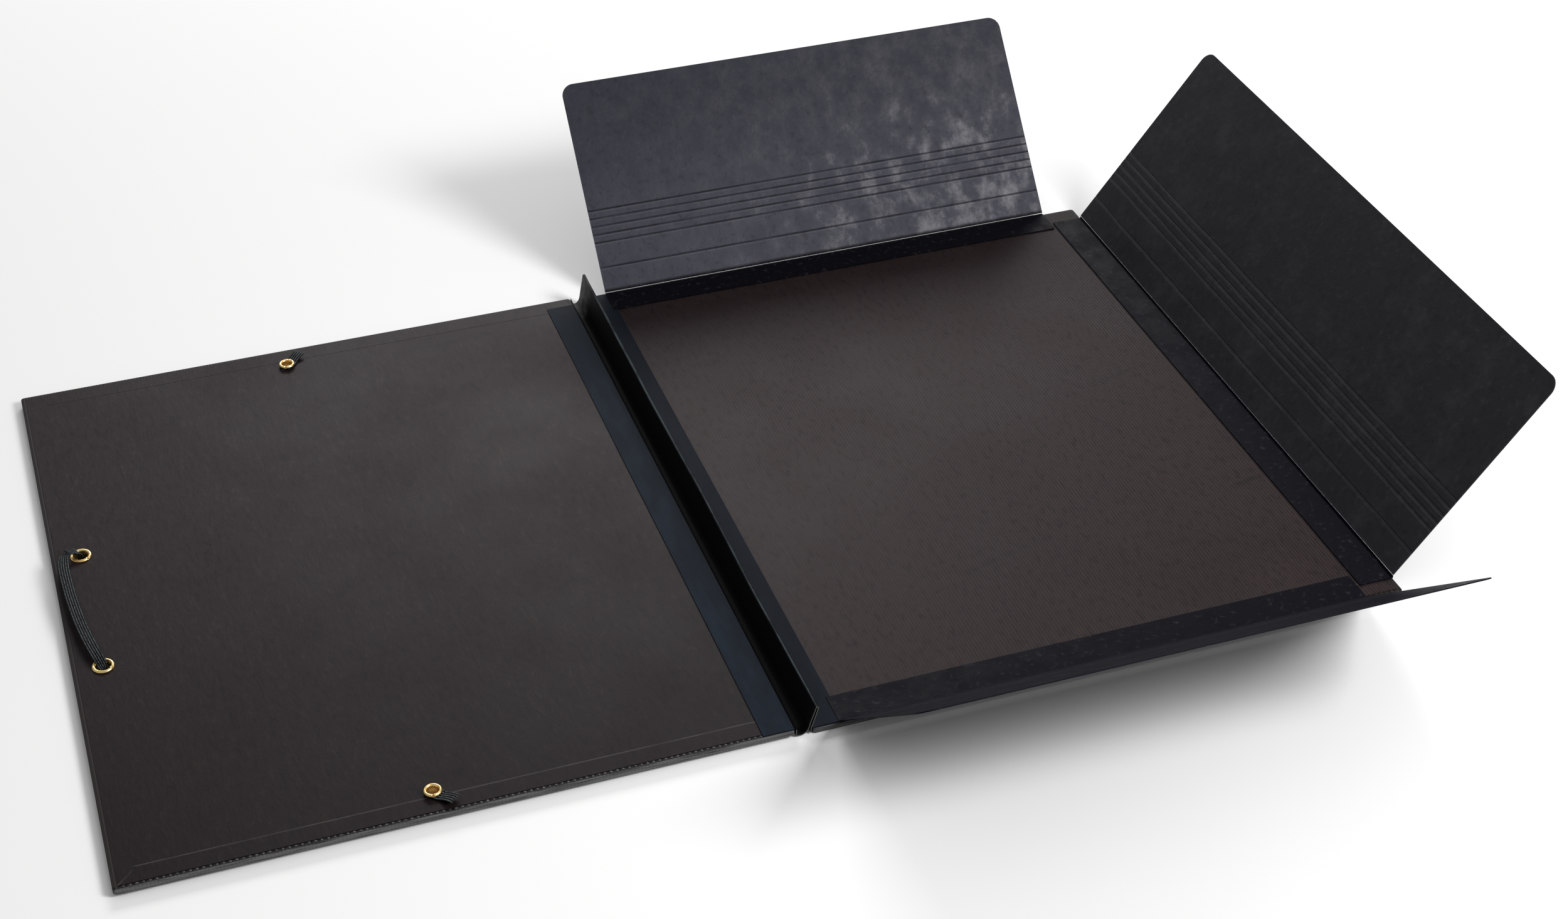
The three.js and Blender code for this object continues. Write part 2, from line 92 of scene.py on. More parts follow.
def finish_of(name, colour, roughness, specular):
    """A plain finish, with its node tree and its shader to build on."""
    finish = bpy.data.materials.new(name)
    finish.use_nodes = True
    shader = finish.node_tree.nodes["Principled BSDF"]
    shader.inputs["Base Color"].default_value = (*colour, 1)
    shader.inputs["Roughness"].default_value = roughness
    shader.inputs["Specular IOR Level"].default_value = specular
    return finish, finish.node_tree, shader


def link_piece(name, mesh, finish=None):
    """An object for a finished mesh, at the origin."""
    piece = bpy.data.objects.new(name, mesh)
    bpy.context.collection.objects.link(piece)
    if finish:
        mesh.materials.append(finish)
    return piece


floor_colour = (0.96, 0.96, 0.955)
floor_half = 4
floor_z = -0.0001
floor_mesh = bpy.data.meshes.new("floor")
floor_corners = [(-1, -1), (1, -1), (1, 1), (-1, 1)]
floor_mesh.from_pydata(
    [(x * floor_half, y * floor_half, floor_z) for x, y in floor_corners], [], [(0, 1, 2, 3)]
)
floor_finish = finish_of("pale_floor", floor_colour, roughness=0.9, specular=0.1)[0]
floor = link_piece("floor", floor_mesh, floor_finish)


def lamp(name, place, aim, size, power):
    """A square soft lamp that faces a point."""
    data = bpy.data.lights.new(name, "AREA")
    data.shape = "RECTANGLE"
    data.size = size[0]
    data.size_y = size[1]
    data.energy = power
    made = bpy.data.objects.new(name, data)
    made.location = place
    made.rotation_euler = (Vector(aim) - Vector(place)).to_track_quat("-Z", "Y").to_euler()
    bpy.context.collection.objects.link(made)


lamp("front_lamp", place=(0.7, -0.75, 0.95), aim=(0, 0.05, 0.02), size=(0.5, 0.45), power=16)
lamp("back_lamp", place=(0.3, 1.75, 1.0), aim=(-0.1, 0, 0), size=(1.1, 0.5), power=19)

world = bpy.data.worlds.new("even_light")
bpy.context.scene.world = world
world.use_nodes = True
light_level = 0.38
path = put(world.node_tree, "ShaderNodeLightPath")
seen = calc(world.node_tree, "MAXIMUM", path.outputs["Is Camera Ray"], path.outputs["Is Transmission Ray"])
world_shader = world.node_tree.nodes["Background"]
world_shader.inputs["Color"].default_value = (1, 1, 1, 1)
strength = calc(world.node_tree, "MAXIMUM", seen, light_level)
world.node_tree.links.new(strength, world_shader.inputs["Strength"])


# Cover boards and their covering
# Each cover is a grey board in a brown-black paper with fine ribs along the folder's length.
# The paper is turned in over the edges, where handling has rubbed it grey; on the rounded near edge the grey
# band is also a painted highlight.
def object_place(tree):
    """The place on the object, as a vector and as its three numbers."""
    place = put(tree, "ShaderNodeTexCoord").outputs["Object"]
    return place, put(tree, "ShaderNodeSeparateXYZ", {0: place}).outputs


def ramp(tree, value, start, end, low=0.0, high=1.0):
    """Goes smoothly from low to high as value goes from start to end."""
    values = {"Value": value, "From Min": start, "From Max": end, "To Min": low, "To Max": high}
    return put(tree, "ShaderNodeMapRange", values, interpolation_type="SMOOTHSTEP").outputs[0]


def line(tree, value, middle, width, soft):
    """One on a line of the given width, fading out over soft on both sides."""
    away = calc(tree, "ABSOLUTE", calc(tree, "SUBTRACT", value, middle))
    return ramp(tree, away, width / 2, width / 2 + soft, 1.0, 0.0)


def noise(tree, place, scale, detail=3.0, rough=0.55):
    """A cloudy pattern of the given number of patches to a metre."""
    values = {"Vector": place, "Scale": scale, "Detail": detail, "Roughness": rough}
    return put(tree, "ShaderNodeTexNoise", values).outputs[0]


def stretched(tree, place, scales):
    """The place, with each axis drawn out or pressed together."""
    return put(tree, "ShaderNodeMapping", {"Vector": place, "Scale": scales}).outputs[0]


def mixed(tree, factor, first, second):
    """A colour between two, which are colours or sockets."""
    first = first if isinstance(first, bpy.types.NodeSocket) else (*first, 1)
    second = second if isinstance(second, bpy.types.NodeSocket) else (*second, 1)
    mix = put(tree, "ShaderNodeMix", {0: factor, 6: first, 7: second}, data_type="RGBA")
    return mix.outputs[2]


def relief(tree, shader, height, depth, under=None):
    """Bump from a height of 0 to 1, which is depth metres deep, over another bump."""
    values = {"Height": height, "Distance": depth, "Strength": 1.0}
    if under:
        values["Normal"] = under
    bump = put(tree, "ShaderNodeBump", values).outputs[0]
    tree.links.new(bump, shader.inputs["Normal"])
    return bump


def dress(name, finish):
    """Gives a node of the frame its finish."""
    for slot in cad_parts[name].material_slots:
        slot.material = finish


rib_pitch = 0.0014
near_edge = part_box("back_covering")[0][1]

greyboard_colour = (0.25, 0.23, 0.19)
board_dark = (0.2, 0.18, 0.15)
board_light = (0.3, 0.28, 0.24)
board_finish, tree, shader = finish_of("greyboard", greyboard_colour, roughness=0.95, specular=0.1)
place = object_place(tree)[0]
layers = noise(tree, stretched(tree, place, (400, 400, 4000)), 1)
tree.links.new(mixed(tree, layers, board_dark, board_light), shader.inputs["Base Color"])
for name in ("front_board", "back_board"):
    dress(name, board_finish)

covering_colour = (0.018, 0.0145, 0.0135)
worn_and_sheen_grey = (0.12, 0.12, 0.122)
rubbed_back = (0.04, 0.031, 0.024)
rub_and_sheen_reach = 0.0007
rub_and_sheen_full = 0.0002
bare_corner_width = 0.014
dash_colour = (0.002, 0.002, 0.002)
dash_pitch = 0.0024
dash_inset = 0.0013
dash_length = 0.001
covering_rib_depth = 0.00005
covering, tree, shader = finish_of("covering_paper", covering_colour, roughness=0.55, specular=0.12)
place, axes = object_place(tree)
turn = 2 * math.pi / rib_pitch
rib = ramp(tree, calc(tree, "SINE", calc(tree, "MULTIPLY", axes[0], turn)), -1.0, 1.0)
# Grey band along the near edge: rubbed paper together with a painted highlight on the rounded board edge.
rub_and_sheen_along = noise(tree, stretched(tree, place, (60, 900, 2500)), 1, 4.0, 0.7)
rub_and_sheen = ramp(tree, axes[1], near_edge + rub_and_sheen_reach, near_edge + rub_and_sheen_full)
rub_and_sheen = calc(tree, "MULTIPLY", rub_and_sheen, ramp(tree, rub_and_sheen_along, 0.3, 0.62))
bare_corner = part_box("back_covering")[1][0] - bare_corner_width
rub_and_sheen_colour = mixed(tree, ramp(tree, axes[0], bare_corner, bare_corner + 0.001), worn_and_sheen_grey, rubbed_back)
dash_zone = line(tree, axes[1], near_edge + dash_inset, dash_length, 0.0002)
dash_wave = calc(tree, "SINE", calc(tree, "MULTIPLY", axes[0], 2 * math.pi / dash_pitch))
dash = calc(tree, "MULTIPLY", dash_zone, ramp(tree, dash_wave, 0.3, -0.3))
colour = mixed(tree, rub_and_sheen, covering_colour, rub_and_sheen_colour)
colour = mixed(tree, dash, colour, dash_colour)
tree.links.new(colour, shader.inputs["Base Color"])
relief(tree, shader, rib, covering_rib_depth)
for name in ("front_covering", "back_covering"):
    dress(name, covering)


def inputs_of(tree, names):
    """Adds number inputs to a geometry tree and gives back its group input node."""
    for name in names:
        tree.interface.new_socket(name, in_out="INPUT", socket_type="NodeSocketFloat")
    tree.interface.new_socket("Place", in_out="INPUT", socket_type="NodeSocketVector")
    tree.interface.new_socket("Finish", in_out="INPUT", socket_type="NodeSocketMaterial")
    tree.interface.new_socket("Geometry", in_out="OUTPUT", socket_type="NodeSocketGeometry")
    return tree.nodes.new("NodeGroupInput")


def end_tree(tree, geometry, finish):
    """Ends a geometry tree: real geometry in one finish."""
    real = put(tree, "GeometryNodeRealizeInstances", {0: geometry}).outputs[0]
    done = put(tree, "GeometryNodeSetMaterial", {"Geometry": real, "Material": finish}).outputs[0]
    tree.links.new(done, tree.nodes.new("NodeGroupOutput").inputs[0])


def grow(name, tree, values):
    """Runs a geometry tree with its inputs set, and gives back an object for the result."""
    holder = link_piece(name + "_holder", bpy.data.meshes.new(name + "_holder"))
    modifier = holder.modifiers.new("growth", "NODES")
    modifier.node_group = tree
    for item in tree.interface.items_tree:
        if item.item_type == "SOCKET" and item.in_out == "INPUT" and item.name in values:
            modifier[item.identifier] = values[item.name]
    return settle(name, holder)


def settle(name, holder):
    """Turns an object with its modifiers into a plain mesh piece, and removes the holder."""
    bpy.context.view_layer.update()
    evaluated = holder.evaluated_get(bpy.context.evaluated_depsgraph_get())
    mesh = bpy.data.meshes.new_from_object(evaluated)
    bpy.data.objects.remove(holder)
    mesh.name = name
    piece = bpy.data.objects.new(name, mesh)
    bpy.context.collection.objects.link(piece)
    return piece


def bead_row_tree():
    """A row of low rounded beads along X, each a little different in size."""
    tree = bpy.data.node_groups.new("bead row", "GeometryNodeTree")
    given = inputs_of(tree, ("Length", "Pitch", "Bead Width", "Bead Length", "Bead Height", "Seed")).outputs
    count = calc(tree, "FLOOR", calc(tree, "DIVIDE", given["Length"], given["Pitch"]))
    step = put(tree, "ShaderNodeCombineXYZ", {0: given["Pitch"]}).outputs[0]
    row = put(tree, "GeometryNodeMeshLine", {
        "Count": count, "Start Location": given["Place"], "Offset": step,
    }).outputs[0]
    bead = put(tree, "GeometryNodeMeshUVSphere", {"Segments": 10, "Rings": 6, "Radius": 0.5}).outputs[0]
    scale = put(tree, "ShaderNodeCombineXYZ", {
        0: given["Bead Width"], 1: given["Bead Length"], 2: given["Bead Height"]}).outputs[0]
    shaped = put(tree, "GeometryNodeTransform", {"Geometry": bead, "Scale": scale}).outputs[0]
    size = put(tree, "FunctionNodeRandomValue", {
        0: (0.7, 0.75, 0.6), 1: (1.1, 1.05, 1.15), "Seed": given["Seed"],
    }, data_type="FLOAT_VECTOR").outputs[0]
    beads = put(tree, "GeometryNodeInstanceOnPoints", {
        "Points": row, "Instance": shaped, "Scale": size}).outputs[0]
    end_tree(tree, beads, given["Finish"])
    return tree


def smooth_faces(mesh):
    """Shades every face of a mesh smoothly."""
    mesh.polygons.foreach_set("use_smooth", [True] * len(mesh.polygons))


bead_dark = (0.015, 0.015, 0.016)
bead_light = (0.065, 0.065, 0.067)
bead_inset = 0.0012
bead_start = 0.004
bead_end = 0.002
bead_sink = 0.00015
bead_finish, tree, shader = finish_of("rubbed_ribs", (0.07, 0.07, 0.072), roughness=0.45, specular=0.3)
place = object_place(tree)[0]
bead_tone = ramp(tree, noise(tree, place, 900), 0.35, 0.65)
tree.links.new(mixed(tree, bead_tone, bead_dark, bead_light), shader.inputs["Base Color"])
front_low, front_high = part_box("front_covering")
edge_ribs = grow("front_edge_ribs", bead_row_tree(), {
    "Length": front_high[0] - front_low[0] - bead_start - bead_end, "Pitch": dash_pitch,
    "Bead Width": 0.0013, "Bead Length": 0.0012, "Bead Height": 0.00026, "Seed": 3.0,
    "Place": (front_low[0] + bead_start, near_edge + bead_inset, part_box("front_lining")[1][2] - bead_sink),
    "Finish": bead_finish,
})
smooth_faces(edge_ribs.data)
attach(edge_ribs, "front_cover")


# Linings
# The lining is one sheet of the same ribbed paper, pasted inside each cover a little short of
# its edges. It is pressed down inside the turn-ins, whose edges show through as fine lines.
sheet_rows = 6


def ribbed_sheet_tree():
    """A sheet of ribs that run along Y, pressed down over a middle field."""
    tree = bpy.data.node_groups.new("ribbed sheet", "GeometryNodeTree")
    sizes = ("Width", "Length", "Rib Pitch", "Rib Depth", "Field Inset", "Field Step", "Field Dip")
    given = inputs_of(tree, sizes).outputs
    steps = calc(tree, "ROUND", calc(tree, "DIVIDE", given["Width"], given["Rib Pitch"]))
    columns = calc(tree, "ADD", calc(tree, "MULTIPLY", steps, 4), 1)
    grid = put(tree, "GeometryNodeMeshGrid", {
        "Size X": given["Width"], "Size Y": given["Length"], "Vertices X": columns, "Vertices Y": sheet_rows,
    }).outputs["Mesh"]
    axes = put(tree, "ShaderNodeSeparateXYZ", {0: put(tree, "GeometryNodeInputPosition").outputs[0]}).outputs
    half_length = calc(tree, "DIVIDE", given["Length"], 2)
    half_width = calc(tree, "DIVIDE", given["Width"], 2)
    share = calc(tree, "DIVIDE", calc(tree, "ABSOLUTE", axes[1]), half_length)
    field_y = calc(tree, "SUBTRACT", half_length, given["Field Inset"])
    row = put(tree, "GeometryNodeIndexSwitch", data_type="FLOAT")
    row.index_switch_items.new()
    row_share = calc(tree, "SUBTRACT", calc(tree, "MULTIPLY", share, sheet_rows - 1), 1)
    row_number = calc(tree, "ROUND", calc(tree, "DIVIDE", row_share, 2))
    tree.links.new(row_number, row.inputs[0])
    tree.links.new(field_y, row.inputs[1])
    tree.links.new(calc(tree, "ADD", field_y, given["Field Step"]), row.inputs[2])
    tree.links.new(half_length, row.inputs[3])
    new_y = calc(tree, "MULTIPLY", row.outputs[0], calc(tree, "SIGN", axes[1]))
    spread = put(tree, "GeometryNodeSetPosition", {"Geometry": grid, "Position": put(
        tree, "ShaderNodeCombineXYZ", {0: axes[0], 1: new_y}).outputs[0]}).outputs[0]
    field_x = calc(tree, "SUBTRACT", half_width, given["Field Inset"])
    end_x = calc(tree, "ADD", field_x, given["Field Step"])
    end_y = calc(tree, "ADD", field_y, given["Field Step"])
    in_x = ramp(tree, calc(tree, "ABSOLUTE", axes[0]), field_x, end_x, 1.0, 0.0)
    in_y = ramp(tree, calc(tree, "ABSOLUTE", axes[1]), field_y, end_y, 1.0, 0.0)
    dip = calc(tree, "MULTIPLY", calc(tree, "MULTIPLY", in_x, in_y), given["Field Dip"])
    phase = calc(tree, "MULTIPLY", calc(tree, "DIVIDE", axes[0], given["Rib Pitch"]), 2 * math.pi)
    trough = calc(tree, "MULTIPLY", calc(tree, "SUBTRACT", 1, calc(tree, "COSINE", phase)), 0.5)
    down = calc(tree, "ADD", dip, calc(tree, "MULTIPLY", trough, given["Rib Depth"]))
    lift = put(tree, "ShaderNodeCombineXYZ", {2: calc(tree, "MULTIPLY", down, -1)}).outputs[0]
    moved = put(tree, "ShaderNodeVectorMath", {0: lift, 1: given["Place"]}, operation="ADD").outputs[0]
    ribbed = put(tree, "GeometryNodeSetPosition", {"Geometry": spread, "Offset": moved}).outputs[0]
    end_tree(tree, ribbed, given["Finish"])
    return tree


rib_depth = 0.00006
lining_thickness = 0.00012
field_inset = 0.008
turn_in_width = 0.01
turn_in_line = 0.0003
front_tones = ((0.0135, 0.0075, 0.0085), (0.0185, 0.0112, 0.0122))
back_tones = ((0.0215, 0.0132, 0.014), (0.0285, 0.0185, 0.0195))
grain_dark = (0.005, 0.0038, 0.004)
grain_light = (0.034, 0.025, 0.024)
rib_trough_shade = (0.006, 0.0035, 0.0038)
front_rib_shade = 0.0
back_rib_shade = 0.5
painted_end_shade_colour = (0.003, 0.0015, 0.0018)
shade_start = 0.08
front_painted_end_shade = (0.45, 0.0)
back_painted_end_shade = (0.0, 0.35)
turn_in_line_tone = (0.05, 0.047, 0.045)
lint_colour = (0.3, 0.3, 0.29)
lint_cells = 48.0
lint_radius = 0.011
lint_rarity = 0.8
crease_shade = (0.006, 0.005, 0.005)


def lining_finish(name, cover_node, tones, end_shade, rib_shade, creases):
    """Lining paper with light turn-in lines and lint, and painted shade toward its near and far end.

    Each crease is a stroke of painted shade, with a middle, a reach along X and a turn.
    """
    finish, tree, shader = finish_of(name, tones[0], roughness=0.47, specular=0.1)
    place, axes = object_place(tree)
    low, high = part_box(cover_node)
    cloud = noise(tree, place, 14, 4.0, 0.6)
    grain = noise(tree, stretched(tree, place, (420, 150, 420)), 1, 5.0, 0.72)
    colour = mixed(tree, ramp(tree, cloud, 0.35, 0.65), *tones)
    colour = mixed(tree, ramp(tree, grain, 0.5, 0.34, 0.0, 0.6), colour, grain_dark)
    colour = mixed(tree, ramp(tree, grain, 0.54, 0.7, 0.0, 0.5), colour, grain_light)
    # Painted shade in the rib troughs, in patches; only the back lining gets it, since the front rib shade is
    # nought.
    from_edge = calc(tree, "SUBTRACT", axes[0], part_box("back_lining")[0][0])
    wave = calc(tree, "COSINE", calc(tree, "MULTIPLY", from_edge, 2 * math.pi / rib_pitch))
    patchy = ramp(tree, noise(tree, stretched(tree, place, (12, 5, 12)), 1), 0.35, 0.65, 0.4, 1.0)
    trough = calc(tree, "MULTIPLY", ramp(tree, wave, 0.4, -0.9), patchy)
    colour = mixed(tree, calc(tree, "MULTIPLY", trough, rib_shade), colour, rib_trough_shade)
    # Painted shade: the front lining darkens toward its near end, and the back lining toward its far end
    # beside the far flap.
    toward_near = ramp(tree, axes[1], shade_start, low[1] + 0.01, 0.0, end_shade[0])
    toward_far = ramp(tree, axes[1], shade_start, high[1] - 0.01, 0.0, end_shade[1])
    colour = mixed(tree, calc(tree, "MAXIMUM", toward_near, toward_far), colour, painted_end_shade_colour)
    # A lighter line along each turn-in edge and its mitre, faint along the far edge.
    near_line = line(tree, axes[1], low[1] + turn_in_width, turn_in_line, 0.0003)
    far_line = line(tree, axes[1], high[1] - turn_in_width, turn_in_line, 0.0004)
    across = ramp(tree, axes[0], low[0] + turn_in_width * 0.8, low[0] + turn_in_width)
    near_line = calc(tree, "MULTIPLY", near_line, across)
    faint = calc(tree, "MULTIPLY", far_line, 0.22)
    corner_x = calc(tree, "SUBTRACT", axes[0], low[0])
    corner_y = calc(tree, "SUBTRACT", axes[1], low[1])
    mitre = line(tree, calc(tree, "SUBTRACT", corner_x, corner_y), 0.0, turn_in_line, 0.0003)
    mitre_reach = ramp(tree, corner_y, turn_in_width * 0.9, turn_in_width * 0.6)
    mitre = calc(tree, "MULTIPLY", mitre, mitre_reach)
    lines = calc(tree, "MAXIMUM", calc(tree, "MAXIMUM", near_line, mitre), faint)
    broken = ramp(tree, noise(tree, stretched(tree, place, (70, 500, 500)), 1, 3.0, 0.6), 0.3, 0.6, 0.35, 1.0)
    colour = mixed(tree, calc(tree, "MULTIPLY", lines, broken), colour, turn_in_line_tone)
    cells = put(tree, "ShaderNodeTexVoronoi", {"Vector": place, "Scale": lint_cells})
    chosen = calc(tree, "GREATER_THAN", cells.outputs["Color"], lint_rarity)
    lint = calc(tree, "LESS_THAN", cells.outputs["Distance"], lint_radius)
    lint = calc(tree, "MULTIPLY", lint, chosen)
    colour = mixed(tree, calc(tree, "MULTIPLY", lint, 0.5), colour, lint_colour)
    # Painted shade along each crease.
    pressed_shade = 0.0
    for middle, reach, angle in creases:
        turned = put(tree, "ShaderNodeVectorRotate", {
            "Vector": place, "Center": (*middle, 0), "Angle": angle,
        }).outputs[0]
        spot = put(tree, "ShaderNodeSeparateXYZ", {0: turned}).outputs
        stroke = line(tree, spot[0], middle[0], reach, reach * 0.6)
        stroke = calc(tree, "MULTIPLY", stroke, line(tree, spot[1], middle[1], 0.0004, 0.0022))
        pressed_shade = calc(tree, "MAXIMUM", pressed_shade, stroke)
    ragged = ramp(tree, noise(tree, place, 220), 0.35, 0.6)
    pressed_shade = calc(tree, "MULTIPLY", pressed_shade, ragged)
    colour = mixed(tree, calc(tree, "MULTIPLY", pressed_shade, 0.6), colour, crease_shade)
    tree.links.new(colour, shader.inputs["Base Color"])
    tree.links.new(ramp(tree, cloud, 0.3, 0.7, 0.48, 0.56), shader.inputs["Roughness"])
    relief(tree, shader, grain, 0.0001)
    return finish


front_creases = [((-0.335, 0.142), 0.02, 0.1), ((-0.2, 0.146), 0.03, -0.05)]
back_creases = [((0.09, 0.02), 0.012, -0.2), ((-0.02, -0.09), 0.022, -0.25), ((0.105, -0.075), 0.01, -0.2)]
front_finish = lining_finish(
    "front_lining_paper", "front_covering", front_tones, front_painted_end_shade, front_rib_shade, front_creases
)
back_finish = lining_finish(
    "back_lining_paper", "back_covering", back_tones, back_painted_end_shade, back_rib_shade, back_creases
)
dress("front_lining", front_finish)

lining_low, lining_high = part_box("back_lining")
lining_sheet = grow("back_lining_sheet", ribbed_sheet_tree(), {
    "Width": lining_high[0] - lining_low[0], "Length": lining_high[1] - lining_low[1],
    "Rib Pitch": rib_pitch, "Rib Depth": rib_depth,
    "Field Inset": field_inset, "Field Step": 0.0006, "Field Dip": 0.00007,
    "Place": (
        (lining_low[0] + lining_high[0]) / 2, (lining_low[1] + lining_high[1]) / 2, lining_high[2],
    ),
    "Finish": back_finish,
})
lining_wall = lining_sheet.modifiers.new("wall", "SOLIDIFY")
lining_wall.thickness = lining_thickness
lining_wall.offset = -1
back_lining = settle("back_lining_paper", lining_sheet)
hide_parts("back_lining")
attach(back_lining, "back_cover")


# Spine cloth
# Two strips of dark navy book cloth are pasted along the boards' inner edges. Each holds one
# side of the pleat that stands between the covers.
cloth_colour = (0.0075, 0.0135, 0.0235)
cloth_dark = (0.0042, 0.0075, 0.0135)
cloth_faded = (0.075, 0.078, 0.075)
cloth_worn_end = (0.012, 0.016, 0.02)
pleat_shadow_tone = (0.002, 0.003, 0.006)
end_wear_width = 0.0075
shade_half = 0.004
weave_pitch = 0.0005
weave_depth = 0.00004
cloth, tree, shader = finish_of("spine_cloth", cloth_colour, roughness=0.65, specular=0.08)
place, axes = object_place(tree)
weave_x = calc(tree, "SINE", calc(tree, "MULTIPLY", axes[0], 2 * math.pi / weave_pitch))
weave_y = calc(tree, "SINE", calc(tree, "MULTIPLY", axes[1], 2 * math.pi / weave_pitch))
weave = ramp(tree, calc(tree, "MULTIPLY", weave_x, weave_y), -1.0, 1.0)
cloud = noise(tree, stretched(tree, place, (120, 30, 120)), 1, 3.0, 0.6)
colour = mixed(tree, ramp(tree, cloud, 0.35, 0.7), cloth_dark, cloth_colour)
far_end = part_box("spine_cloth_front")[1][1]
pleat_edge_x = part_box("spine_pleat")[1][0]
worn_from = far_end - end_wear_width
end_wear = ramp(tree, axes[1], worn_from, worn_from + 0.0007, 0.0, 0.35)
colour = mixed(tree, end_wear, colour, cloth_worn_end)
# Painted shadow of the pleat on the cloth past its leaning edge.
in_shade = ramp(tree, axes[0], pleat_edge_x - shade_half, pleat_edge_x + shade_half, 0.0, 0.6)
colour = mixed(tree, in_shade, colour, pleat_shadow_tone)
tree.links.new(colour, shader.inputs["Base Color"])
relief(tree, shader, weave, weave_depth)
for name in ("spine_cloth_front", "spine_cloth_back"):
    dress(name, cloth)


# The pleat
# The pleat is the same cloth, folded up double so that the folder can hold a thick stack. Its
# ridge leans over the back cover. Its ends are cut edges, where the cloth's pale core shows.
def smooth_line(points, steps):
    """Points of a smooth curve through the given points, steps to each span."""
    curve = []
    for i in range(len(points) - 1):
        before = points[max(i - 1, 0)]
        after = points[min(i + 2, len(points) - 1)]
        start, end = points[i], points[i + 1]
        for step in range(steps):
            t = step / steps
            curve.append(
                0.5 * ((2 * start) + (end - before) * t + (2 * before - 5 * start + 4 * end - after) * t * t
                       + (3 * start - before - 3 * end + after) * t ** 3)
            )
    return curve + [points[-1]]


pleat_low, pleat_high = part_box("spine_pleat")
pleat_thickness = 0.00036
pleat_stations = 60
pleat_near_height = 0.0122
pleat_far_height = 0.0153
pleat_near_lean = 0.0056
pleat_far_lean = 0.0044
pleat_foot = 0.0026
pleat_floor = 0.0006
hinge_gap = 0.0003
ridge_radius = 0.0005
wall_inset = 0.0005
front_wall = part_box("spine_cloth_front")[1][0] + hinge_gap + wall_inset
front_wall_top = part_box("spine_cloth_front")[0][2] - hinge_gap
wall_gap = 0.0062
back_wall = pleat_low[0] + wall_gap


height_waves = ((0.00022, 19, 0), (0.00015, 43, 1))
lean_waves = ((0.0002, 13, 2),)
crest_depth = 0.0006


def uneven(share, waves):
    """A sum of waves along the pleat, each with a size, its turns and its start."""
    return sum(size * math.sin(share * turns + start) for size, turns, start in waves)


def pleat_line(share):
    """The pleat's middle line at a share of the way from the near end, as X and Z."""
    height = pleat_near_height + (pleat_far_height - pleat_near_height) * share
    height += uneven(share, height_waves)
    lean = pleat_near_lean + (pleat_far_lean - pleat_near_lean) * share + uneven(share, lean_waves)
    foot = front_wall + pleat_foot
    ridge_x = foot + lean
    ridge_z = pleat_floor + height
    r = ridge_radius
    flat = [
        (front_wall, front_wall_top), (front_wall, pleat_floor + 0.0002), (front_wall + 0.0003, pleat_floor),
        (foot, pleat_floor), (foot + lean * 0.36, pleat_floor + height * 0.14),
        (foot + lean * 0.55, pleat_floor + height * 0.42), (ridge_x - r, ridge_z - r * 1.6),
        (ridge_x - r * 0.7, ridge_z - r * 0.4), (ridge_x, ridge_z), (ridge_x + r * 0.7, ridge_z - r * 0.4),
        (ridge_x + r, ridge_z - r * 1.6), (back_wall + lean * 0.22, pleat_floor + height * 0.5),
        (back_wall, 0.0025), (back_wall, pleat_floor),
    ]
    return smooth_line([Vector(point) for point in flat], 4)


pleat_mesh = bpy.data.meshes.new("cloth_pleat")
pleat_points = []
crest = []
for station in range(pleat_stations + 1):
    share = station / pleat_stations
    y = pleat_low[1] + (pleat_high[1] - pleat_low[1]) * share
    section = pleat_line(share)
    top = max(point.y for point in section)
    for point in section:
        pleat_points.append((point.x, y, point.y))
        crest.append(max(0.0, 1 - (top - point.y) / crest_depth))
columns = len(section)
pleat_faces = [
    (row * columns + i, row * columns + i + 1, (row + 1) * columns + i + 1, (row + 1) * columns + i)
    for row in range(pleat_stations) for i in range(columns - 1)
]
pleat_mesh.from_pydata(pleat_points, [], pleat_faces)
crest_layer = pleat_mesh.attributes.new("crest", "FLOAT", "POINT")
crest_layer.data.foreach_set("value", crest)

# The pleat's cloth is painted near black, far darker than the strips: painted shade on its standing faces.
pleat_shade_colour = (0.0013, 0.0016, 0.0024)
crest_colour = (0.04, 0.05, 0.055)
cloth_core = (0.09, 0.09, 0.082)
fade_start = 0.017
fade_full = 0.008
pleat_finish, tree, shader = finish_of("pleat_cloth", pleat_shade_colour, roughness=0.6, specular=0.05)
place, axes = object_place(tree)
# Lighter along the ridge, broken in patches.
crest_nearness = put(tree, "ShaderNodeAttribute", attribute_name="crest").outputs["Fac"]
weave_z = calc(tree, "SINE", calc(tree, "MULTIPLY", axes[2], 2 * math.pi / weave_pitch))
weave_y = calc(tree, "SINE", calc(tree, "MULTIPLY", axes[1], 2 * math.pi / weave_pitch))
weave = ramp(tree, calc(tree, "MULTIPLY", weave_z, weave_y), -1.0, 1.0)
crest_break = ramp(tree, noise(tree, stretched(tree, place, (100, 90, 100)), 1), 0.3, 0.6, 0.35, 1.0)
crest_mask = calc(tree, "MULTIPLY", ramp(tree, crest_nearness, 0.6, 0.98), crest_break)
colour = mixed(tree, crest_mask, pleat_shade_colour, crest_colour)
patch = ramp(tree, noise(tree, place, 260), 0.35, 0.65, 0.3, 1.0)
faded_end = ramp(tree, axes[1], pleat_high[1] - fade_start, pleat_high[1] - fade_full)
faded_end = calc(tree, "MULTIPLY", faded_end, patch)
colour = mixed(tree, faded_end, colour, cloth_faded)
cut_end = ramp(tree, axes[1], pleat_low[1] + 0.00005, pleat_low[1] + 0.00002)
colour = mixed(tree, cut_end, colour, cloth_core)
tree.links.new(colour, shader.inputs["Base Color"])
relief(tree, shader, weave, weave_depth)
pleat_holder = link_piece("cloth_pleat_holder", pleat_mesh, pleat_finish)
pleat_wall = pleat_holder.modifiers.new("wall", "SOLIDIFY")
pleat_wall.thickness = pleat_thickness
pleat_wall.offset = 0
pleat = settle("cloth_pleat", pleat_holder)
smooth_faces(pleat.data)
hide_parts("spine_pleat")
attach(pleat, "pleat")


